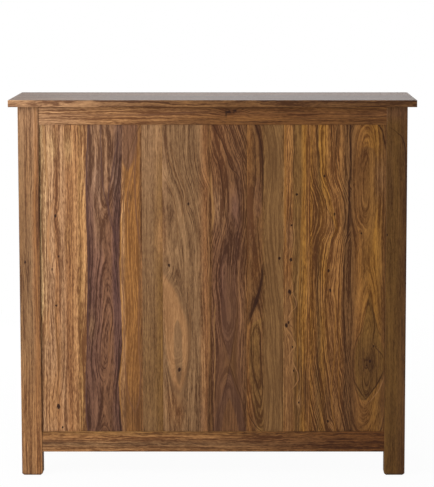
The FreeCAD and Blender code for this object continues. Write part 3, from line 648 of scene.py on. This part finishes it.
            (0, "honey"), (10, "amber"), (20, "olive"), (30, "honey"), (50, "russet"), (75, "russet"),
            (85, "brown"), (100, "brown"),
        ),
        "lines": (2.8, 4.2), "dashes": (3.2, 1.5), "ink": (7.0, 0.7), "wave": 4.0, "wiggle": 1.4,
        "flow": ((0, 55), (15, 30), (35, 10), (60, 12), (70, 30), (85, 5), (100, 0)),
        "bands": (
            ("umber", 0.35, 3.0, ((35, 2), (60, 4), (85, 2)), ((35, 10), (60, 22), (85, 14))),
            ("honey", 1.0, 1.6,
             ((56, 36), (63, 44), (67, 58), (70, 48), (76, 36), (80, 27), (90, 22), (100, 20)),
             ((56, 40), (63, 50), (67, 68), (70, 60), (76, 50), (80, 40), (90, 30), (100, 32))),
        ),
        "veins": (
            ("ink", 0.7, 1.7, ((66, 92), (72, 95), (76, 88), (84, 70), (92, 62), (99, 66))),
            ("ink", 0.95, 2.6, ((62, 92), (68, 96), (80, 95), (90, 97), (99, 95))),
            ("ink", 0.6, 1.5, ((68, 80), (76, 74), (86, 56), (99, 50))),
            ("ink", 0.6, 1.4, ((60, 44), (66, 54), (74, 36), (84, 20), (99, 16))),
            ("ink", 0.6, 1.6, ((0, 72), (10, 82), (25, 86), (45, 84), (60, 86))),
            ("ink", 0.6, 1.5, ((0, 40), (10, 28), (25, 20), (45, 18), (60, 30))),
            ("ink", 0.5, 1.4, ((3, 52), (14, 40), (30, 34), (50, 40))),
            ("honey", 0.7, 1.6, ((2, 62), (14, 55), (26, 60), (50, 66))),
            ("honey", 0.6, 1.4, ((10, 70), (30, 72), (50, 76))),
            ("straw", 0.5, 1.4, ((70, 93), (85, 90), (99, 92))),
        ),
        "knots": ((39, 749, 3.0), (68, 640, 3.3), (51, 474, 3.9), (58, 417, 4.2), (54, 30, 3.3)),
        "stains_and_painted_shading": (
            # The wide umber stain at the foot paints shade: the board darkens towards its foot.
            (60, 0, 300, 330, "umber", 0.45), (34, 620, 14, 100, "honey", 0.8),
            (2, 330, 12, 120, "honey", 0.5), (52, 65, 14, 60, "umber", 0.7),
            (78, 870, 14, 50, "umber", 0.5), (44, 600, 20, 80, "golden", 0.35),
            (35, 398, 12, 45, "cinnamon", 0.45),
        ),
    },
    9: {
        "zones": ((0, "brown"), (25, "amber"), (70, "honey"), (100, "brown")), "lines": (3.4, 2.5),
        "ink": (9.0, 0.25), "pith": 0.0, "flow": ((0, 46), (20, 50), (45, 55), (80, 45), (100, 50)),
        "depth": ((0, 70), (10, 35), (24, 3), (42, 30), (60, 50), (80, 20), (100, 50)),
        "bands": (
            ("moss", 0.9, 4.0, ((10, 42), (16, 16), (25, 14), (34, 36), (46, 53)),
             ((10, 42), (16, 80), (22, 100), (30, 86), (46, 53))),
            ("brown", 0.5, 4.0, ((74, 20), (84, 18), (93, 40)), ((74, 75), (84, 80), (93, 45))),
        ),
        "veins": (
            ("ink", 0.6, 2.2, ((11, 42), (16, 12), (25, 10), (34, 34), (45, 54))),
            ("ink", 0.9, 2.6, ((10.7, 44), (13, 62), (16, 80), (20, 97))),
            ("ink", 0.8, 2.4, ((10.7, 44), (13, 28), (17, 10))),
            ("golden", 0.6, 2.0, ((9, 46), (11.5, 70), (15, 88), (18, 99))),
            ("ink", 0.8, 2.2, ((24, 97), (26.2, 86), (28, 74), (30, 68))),
            ("ink", 0.5, 2.2, ((30, 96), (34, 78), (45, 54))),
            ("umber", 0.5, 1.8, ((14, 44), (18, 28), (26, 28), (36, 50))),
            ("ink", 0.5, 1.8, ((14, 50), (20, 60), (25, 72), (28, 60))),
            ("ink", 0.95, 2.6, ((92, 97), (96, 92), (99, 82))),
            ("ink", 0.6, 1.6, ((0, 86), (3, 95), (6, 98))),
            ("brown", 0.5, 1.5, ((60, 20), (80, 16), (92, 30))),
            ("ink", 0.7, 1.4, ((19.5, 60), (21, 50), (23.5, 47), (26.2, 56))),
            ("ink", 0.6, 1.3, ((20, 64), (22.5, 72), (25.5, 68), (27.5, 58))),
            ("umber", 0.9, 1.6, ((18, 54), (20, 40), (24, 36), (28, 48))),
            ("umber", 0.9, 1.6, ((18.5, 62), (20, 78), (25, 84), (28.5, 74))),
            ("ink", 0.7, 1.3, ((26.2, 68), (28, 78), (29, 90))),
        ),
        "knots": ((56, 208, 3.6), (68, 252, 3.0), (47, 196, 2.4), (29, 583, 2.4)),
        "stains_and_painted_shading": (
            # The wide umber stain at the umber foot paints shade: the board darkens towards its foot.
            (54, 480, 26, 120, "honey", 0.6), (50, 20, 300, 200, "umber", 0.4),
            (56, 215, 26, 85, "umber", 0.4), (58, 205, 12, 34, "ink", 0.5), (82, 745, 14, 60, "tan", 0.4),
        ),
    },
}

FRAME_AND_TOP = {
    "front_left_post": {
        "zones": ((0, "grey brown"), (60, "grey brown"), (80, "orange"), (100, "brown")),
        "lines": (3.0, 1.0), "cloud": (30.0, 0.6), "dashes": (2.8, 0.6),
        "veins": (
            ("russet", 0.4, 3.0, ((20, 80), (50, 84), (75, 80), (99, 84))),
            ("umber", 0.5, 1.6, ((30, 40), (50, 30), (70, 42), (95, 35))),
        ),
        "knots": ((17, 630, 3.6),),
        "stains_and_painted_shading": (
            (14, 310, 3, 14, "straw", 0.8), (24, 140, 90, 230, "cinnamon", 0.7),
            (30, 1075, 60, 110, "tan", 0.8), (6, 700, 14, 240, "brown", 0.5),
            (26, 880, 10, 160, "cinnamon", 0.4),
        ),
    },
    "front_right_post": {
        "zones": ((0, "moss"), (50, "moss"), (100, "umber")), "lines": (3.6, 0.8), "dashes": (3.2, 0.5),
        "ink": (9.0, 0.2),
        "veins": (("ink", 0.85, 2.2, ((50, 97), (80, 98), (88, 92), (91, 80), (93, 50), (94.5, 10))),),
        "knots": ((3, 710, 2.7),),
        "stains_and_painted_shading": (
            (30, 500, 300, 900, "umber", 0.25), (30, 1065, 60, 26, "chestnut", 0.7),
            (12, 900, 14, 130, "umber", 0.5),
        ),
    },
    "front_top_rail": {
        "zones": ((0, "brown"), (30, "russet"), (60, "orange"), (100, "russet")), "lines": (3.0, 2.5),
        "wave": 4.0, "wiggle": 1.6,
        "veins": (
            ("umber", 0.8, 1.6, ((45, 90), (52, 94), (56, 88), (70, 95), (95, 90))),
            ("umber", 0.7, 1.5, ((40, 20), (50, 28), (56, 14), (70, 30), (98, 42))),
            ("umber", 0.6, 1.4, ((60, 62), (72, 68), (80, 60), (95, 66))),
            ("chestnut", 0.7, 2.5, ((5, 60), (25, 52), (45, 70))),
        ),
        "knots": ((36, 571, 4.5), (40, 590, 3.0)),
        "stains_and_painted_shading": (
            # The stains across the whole width, tan, cinnamon and rust, paint light and shade: the rail grows
            # darker from its left end to its right.
            (30, 0, 200, 340, "tan", 1.0), (30, 270, 200, 130, "cinnamon", 0.8),
            (30, 770, 200, 330, "rust", 0.7), (30, 540, 200, 70, "rust", 0.4),
            (34, 575, 16, 18, "rust", 0.7), (32, 564, 11, 2.8, "knot", 1.0), (44, 574, 3, 9, "knot", 0.7),
            # The golden stain 36 mm across paints light along the rail's upper band, over the shadow of the
            # top.
            (37, 586, 7, 2.4, "knot", 0.8), (36, 210, 9, 240, "golden", 0.6),
            (45, 800, 7, 190, "russet", 0.5),
        ),
    },
    "front_bottom_rail": {
        "zones": ((0, "cinnamon"), (40, "grey brown"), (70, "cinnamon"), (100, "olive")),
        "lines": (2.4, 1.9), "cloud": (30.0, 0.5), "dashes": (2.2, 1.6), "wave": 4.5, "wiggle": 1.8,
        # The rust stain paints shade: the rail grows darker towards its right end.
        "pith": -80.0, "stains_and_painted_shading": ((30, 1080, 200, 520, "rust", 1.0),),
    },
    "top_board": {
        "zones": ((0, "brown"), (30, "brown"), (50, "chestnut"), (80, "russet"), (100, "brown")),
        "lines": (3.2, 2.5), "cloud": (30.0, 0.6), "wave": 5.0, "rough": (0.6, 0.42),
        # Darker paints shade on the top's upper face.
        "darker": (("Z", 0.55),),
        # The tan stain paints light on the left end, and the umber stain paints shade on the right end.
        "stains_and_painted_shading": ((0, 0, 600, 300, "tan", 1.0), (0, 1000, 600, 420, "umber", 0.15)),
    },
}

# The grain of the nodes whose names don't tell it.
GRAIN = {
    "top_board": FLAT,
    "bottom_board": FLAT,
    "centre_partition": UPRIGHT_DEEP,
    "open_bay_shelf": FLAT,
    "cupboard_shelf": FLAT,
}

# What the photo doesn't show is drawn by chance, like planks from one stack. The pith lies in widths of
# the piece. The grain leans by a third of the width or 30 mm at most.
STACK = 5
FIRST_SEED = 11
STOPS = 3
STOP_RANGE = (10, 90)
PITH_RANGE = (-1.2, 1.8)
FLOW_UP = (0, 40, 100)
FLOW_MOST = WHOLE / 3
FLOW_REACH = 30
DEPTH_UP = (0, 30, 60, 100)
DEPTH_RANGE = (5, 80)
LINE_WIDTHS = (3.2, 4.2)
WAVES = (2.0, 4.5)
HIDDEN_GLOSS = 0.3

# The drawers and their runners are planed mango wood. To the eye it is pale, with faint lines. Each wood
# has its tones, the range of its lines' strength, and its ink.
SHEESHAM = (["orange", "brown", "russet", "grey brown", "amber", "cinnamon", "chestnut", "olive"],
            (1.8, 2.8), (9.0, 0.5))
MANGO = (["mango", "pale mango", "mango", "grey mango"], (0.9, 1.5), (9.0, 0.1))
WOODEN_SLOTS = ("sheesham", "drawer_wood", "runner_wood")


def grain_of(name):
    """Which way the grain runs in a wooden node."""
    if name in GRAIN:
        return GRAIN[name]
    if "post" in name or "stile" in name or name == "door_panel":
        return UPRIGHT
    if "side_board" in name:
        return UPRIGHT_DEEP
    if "_side" in name or "runners" in name:
        return CROSS_DEEP
    return CROSS


def corner_of(name):
    """The lowest corner of a node, in mm."""
    return [c * PER_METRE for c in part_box(name)[0]]


def size_of(name, axes):
    """A node's width across its grain and its length along it, in mm."""
    low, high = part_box(name)
    return [(high[axis] - low[axis]) * PER_METRE for axis in ("XYZ".index(axes[0]), "XYZ".index(axes[2]))]


def drawn_look(rng, wide, wood):
    """A look for a piece that the photo doesn't show, drawn by chance."""
    tones, strengths, ink = wood
    stops = sorted(rng.uniform(*STOP_RANGE) for _ in range(STOPS))
    return {
        "zones": tuple((edge, rng.choice(tones)) for edge in (0, *stops, WHOLE)),
        "pith": rng.uniform(*PITH_RANGE) * wide,
        "flow": tuple((up, rng.random() * min(FLOW_MOST, WHOLE * FLOW_REACH / wide)) for up in FLOW_UP),
        "depth": tuple((up, rng.uniform(*DEPTH_RANGE)) for up in DEPTH_UP),
        "lines": (rng.uniform(*LINE_WIDTHS), rng.uniform(*strengths)),
        "ink": ink,
        "gloss": HIDDEN_GLOSS,
        "wave": rng.uniform(*WAVES),
    }


# The front boards' figures start at the edges of their panel, between the posts and the rails.
rail_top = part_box("front_bottom_rail")[1].z * PER_METRE
panel_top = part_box("front_top_rail")[0].z * PER_METRE
post_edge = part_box("front_left_post")[1].x * PER_METRE
for number, look in FRONT_BOARDS.items():
    name = f"front_board_{number}"
    left, face, _ = corner_of(name)
    left = max(left, post_edge)
    right = min(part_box(name)[1].x * PER_METRE, -post_edge)
    dress(name, planed_wood(f"lacquered sheesham {name}", (left, face, rail_top),
                            (right - left, panel_top - rail_top), UPRIGHT, number, look))

rng = random.Random(STACK)
for number, (name, piece) in enumerate(sorted(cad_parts.items()), start=FIRST_SEED):
    slot = piece.material_slots[0].name
    if name.startswith("front_board") or not slot.startswith(WOODEN_SLOTS):
        continue
    axes = grain_of(name)
    size = size_of(name, axes)
    if slot.startswith("sheesham"):
        kind, wood = "lacquered sheesham", SHEESHAM
    else:
        kind, wood = "planed mango wood", MANGO
    look = FRAME_AND_TOP.get(name) or drawn_look(rng, size[0], wood)
    dress(name, planed_wood(f"{kind} {name}", corner_of(name), size, axes, number, look))

# Brushing and plating are finer than 0.2 mm, and the grain of a mould finer than 0.1 mm. They are drawn
# coarser than that, to show. Dark parts of a metal and of a plastic are these shares of their colour.
BRUSH_WIDTH = 1.1 * MM
BRUSH_LENGTH = 8 * MM
BRUSH_DETAIL = 3.0
BRUSH_POLISH = 0.1
BRUSH_DULL = 0.15
METAL_SHARE = 0.7
MOULD_GRAIN = 0.4 * MM
MOULD_DETAIL = 2.0
MOULD_SHARE = 0.8
MOULD_ROUGHNESS = 0.55
MOULD_RELIEF = 0.1 * MM
MOULD_STRENGTH = 0.4

# Plywood's veneers show streaks of this width and length on its faces, and layers of this thickness
# with a soft glue line at its edges.
FACE_WIDTH = 9 * MM
FACE_LENGTH = 180 * MM
FACE_DETAIL = 4.0
VENEER = 1.2 * MM
GLUE_LINE = (0.5 * MM, 0.7 * MM)
FACE_TONES = ("ad8a60", "c9a57c")
EDGE_TONES = ("7d5f3c", "bb9a6c")
PLYWOOD_ROUGHNESS = 0.6
PLYWOOD_RELIEF = 0.15 * MM
PLYWOOD_STRENGTH = 0.3


def metal(name, colour, roughness):
    """A metal with fine brushing along Z and a few dull spots."""
    material, tree, shader = new_material(name)
    place = add(tree, "TexCoord").outputs["Object"]
    noise = stretched_noise(tree, place, (BRUSH_WIDTH, BRUSH_WIDTH, BRUSH_LENGTH), BRUSH_DETAIL)
    rough = add(tree, "MapRange", {"Value": noise.outputs[0], "To Min": roughness - BRUSH_POLISH,
                                   "To Max": roughness + BRUSH_DULL})
    feed(tree, shader, "Roughness", rough)
    tint = add(tree, "Mix", {"Factor": noise.outputs[0], "A": linear(colour, METAL_SHARE),
                             "B": linear(colour)}, data_type="RGBA")
    feed(tree, shader, "Base Color", tint)
    shader.inputs["Metallic"].default_value = 1.0
    return material


def plastic(name, colour):
    """Moulded plastic, with the fine grain of its mould."""
    material, tree, shader = new_material(name)
    place = add(tree, "TexCoord").outputs["Object"]
    noise = stretched_noise(tree, place, (MOULD_GRAIN,) * 3, MOULD_DETAIL)
    tint = add(tree, "Mix", {"Factor": noise.outputs[0], "A": linear(colour, MOULD_SHARE),
                             "B": linear(colour)}, data_type="RGBA")
    feed(tree, shader, "Base Color", tint)
    shader.inputs["Roughness"].default_value = MOULD_ROUGHNESS
    bump = add(tree, "Bump", {"Height": noise.outputs[0], "Strength": MOULD_STRENGTH,
                              "Distance": MOULD_RELIEF})
    feed(tree, shader, "Normal", bump)
    return material


def plywood(name):
    """Plywood with long pale streaks on its faces, and layers of two tones at its edges."""
    material, tree, shader = new_material(name)
    coordinates = add(tree, "TexCoord")
    place = coordinates.outputs["Object"]
    noise = stretched_noise(tree, place, (FACE_WIDTH, FACE_LENGTH, FACE_WIDTH), FACE_DETAIL)
    face = add(tree, "Mix", {"Factor": noise.outputs[0], "A": linear(FACE_TONES[0]),
                             "B": linear(FACE_TONES[1])}, data_type="RGBA")
    parts = add(tree, "SeparateXYZ", {0: place})
    layer = add(tree, "Math", {0: parts.outputs["Z"], 1: VENEER}, operation="PINGPONG")
    layer = add(tree, "MapRange", {"Value": layer, "From Min": GLUE_LINE[0], "From Max": GLUE_LINE[1]})
    edge = add(tree, "Mix", {"Factor": layer, "A": linear(EDGE_TONES[0]), "B": linear(EDGE_TONES[1])},
               data_type="RGBA")
    facing = add(tree, "SeparateXYZ", {0: coordinates.outputs["Normal"]})
    facing = add(tree, "Math", {0: facing.outputs["Z"]}, operation="ABSOLUTE")
    colour = add(tree, "Mix", {"Factor": facing, "A": edge, "B": face}, data_type="RGBA")
    feed(tree, shader, "Base Color", colour)
    shader.inputs["Roughness"].default_value = PLYWOOD_ROUGHNESS
    bump = add(tree, "Bump", {"Height": noise.outputs[0], "Strength": PLYWOOD_STRENGTH,
                              "Distance": PLYWOOD_RELIEF})
    feed(tree, shader, "Normal", bump)
    return material


OTHERS = {
    # Brass, turned on a lathe and left to tarnish: a brown metal with a dim, warm glint.
    "aged_brass": metal("turned brass, darkened by age", "6b5029", 0.4),
    # Brass, pressed and brushed: a yellow metal with soft streaks of light.
    "hinge_brass": metal("brushed brass", "b8924e", 0.3),
    # Steel, pressed or drawn and zinc plated: a pale, slightly mottled grey.
    "zinc_steel": metal("zinc plated steel", "b0b0aa", 0.35),
    # ABS, moulded in one: a black that is neither dull nor bright.
    "black_plastic": plastic("moulded black ABS", "171717"),
    # Birch veneers, glued crosswise, sanded and lacquered: pale, calm faces and striped edges.
    "plywood": plywood("lacquered plywood"),
}
for name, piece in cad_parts.items():
    for slot in piece.material_slots:
        if slot.name in OTHERS:
            slot.material = OTHERS[slot.name]

# The camera, solved from the photo's edges: its place in m, how far it looks down in degrees, its sensor
# and lens in mm, and how far the lens is shifted, in widths of the sensor.
CAMERA_PLACE = (0.1034, -6.4620, 1.4798)
CAMERA_DOWN = 7.21
SENSOR = 36
LENS = 162.07
LENS_SHIFT = -0.065

camera = bpy.data.objects.new("camera", bpy.data.cameras.new("camera"))
scene.collection.objects.link(camera)
camera.location = CAMERA_PLACE
camera.rotation_euler = (math.radians(90 - CAMERA_DOWN), 0, 0)
camera.data.sensor_width = SENSOR
camera.data.lens = LENS
camera.data.shift_x = LENS_SHIFT
scene.camera = camera
scene.view_settings.view_transform = "Standard"


def lamp(name, place, target, size, power):
    """A square soft lamp that points at a target. Places and sizes are in m, and power is in W."""
    data = bpy.data.lights.new(name, "AREA")
    data.energy = power
    data.size = size
    new = bpy.data.objects.new(name, data)
    scene.collection.objects.link(new)
    new.location = place
    new.rotation_euler = (Vector(target) - Vector(place)).to_track_quat("-Z", "Y").to_euler()


# A big window on the customer's left lights the front. Lamps behind light the back and the right end,
# and give the top its sheen.
lamp("window_left", place=(-1.5, -1.35, 1.2), target=(-0.05, -0.15, 0.6), size=1.6, power=45.5)
lamp("soft_back", place=(0.2, 2.6, 2.8), target=(0, 0.1, 0.6), size=2.0, power=30)
lamp("low_back", place=(-0.7, 2.6, 0.55), target=(0, 0.2, 0.6), size=0.9, power=22)
lamp("low_right", place=(2.6, 0.4, 0.55), target=(0.5, 0.1, 0.6), size=0.9, power=14)

# The room gives this strength of light, and looks white where it is seen or mirrored.
ROOM_LIGHT = 0.28
WHITE = (1, 1, 1, 1)

# The floor, in m: its width, and from where to where its white grows from a share to full. It keeps the
# rest for the counter's shadow. Its speckles are 25 mm wide.
FLOOR_WIDTH = 30
NEAR_WHITE = 0.96
WHITE_FROM = 0.8
WHITE_FULL = 3.0
FLOOR_TONES = ("e6e6e6", "f0f0f0")
SPECKLE = 25 * MM
FLOOR_ROUGHNESS = 0.9


def white_where_seen(tree, ray):
    """1 on what the camera or another kind of ray sees, and 0 where only light is gathered."""
    path = add(tree, "LightPath")
    return add(tree, "Math", {0: path.outputs["Is Camera Ray"], 1: path.outputs[ray]}, operation="MAXIMUM")


def white_room():
    """A plain white room all round."""
    world = bpy.data.worlds.new("white room")
    world.use_nodes = True
    scene.world = world
    tree = world.node_tree
    background = tree.nodes["Background"]
    background.inputs["Color"].default_value = WHITE
    strength = add(tree, "MapRange", {"Value": white_where_seen(tree, "Is Glossy Ray"),
                                      "To Min": ROOM_LIGHT, "To Max": 1.0})
    feed(tree, background, "Strength", strength)


def studio_floor():
    """Matt white floor paint. It looks white to the camera and through glass, and doesn't light the wood."""
    material, tree, shader = new_material("white studio floor")
    place = add(tree, "TexCoord").outputs["Object"]
    speckle = add(tree, "TexNoise", {"Vector": place, "Scale": 1 / SPECKLE})
    tint = add(tree, "Mix", {"Factor": speckle.outputs[0], "A": linear(FLOOR_TONES[0]),
                             "B": linear(FLOOR_TONES[1])}, data_type="RGBA")
    feed(tree, shader, "Base Color", tint)
    shader.inputs["Roughness"].default_value = FLOOR_ROUGHNESS
    glow = add(tree, "Emission", {"Color": WHITE, "Strength": 1.0})
    far = add(tree, "VectorMath", {0: place}, operation="LENGTH")
    share = add(tree, "MapRange", {"Value": far, "From Min": WHITE_FROM, "From Max": WHITE_FULL,
                                   "To Min": NEAR_WHITE, "To Max": 1.0})
    seen = white_where_seen(tree, "Is Transmission Ray")
    part = add(tree, "Math", {0: seen, 1: share}, operation="MULTIPLY")
    mixed = add(tree, "MixShader", {0: part, 1: shader.outputs[0], 2: glow})
    feed(tree, tree.nodes["Material Output"], "Surface", mixed)
    return material


white_room()
bpy.ops.object.select_all(action="DESELECT")
bpy.ops.mesh.primitive_plane_add(size=FLOOR_WIDTH)
floor = bpy.context.object
floor.name = "floor"
floor.data.materials.append(studio_floor())
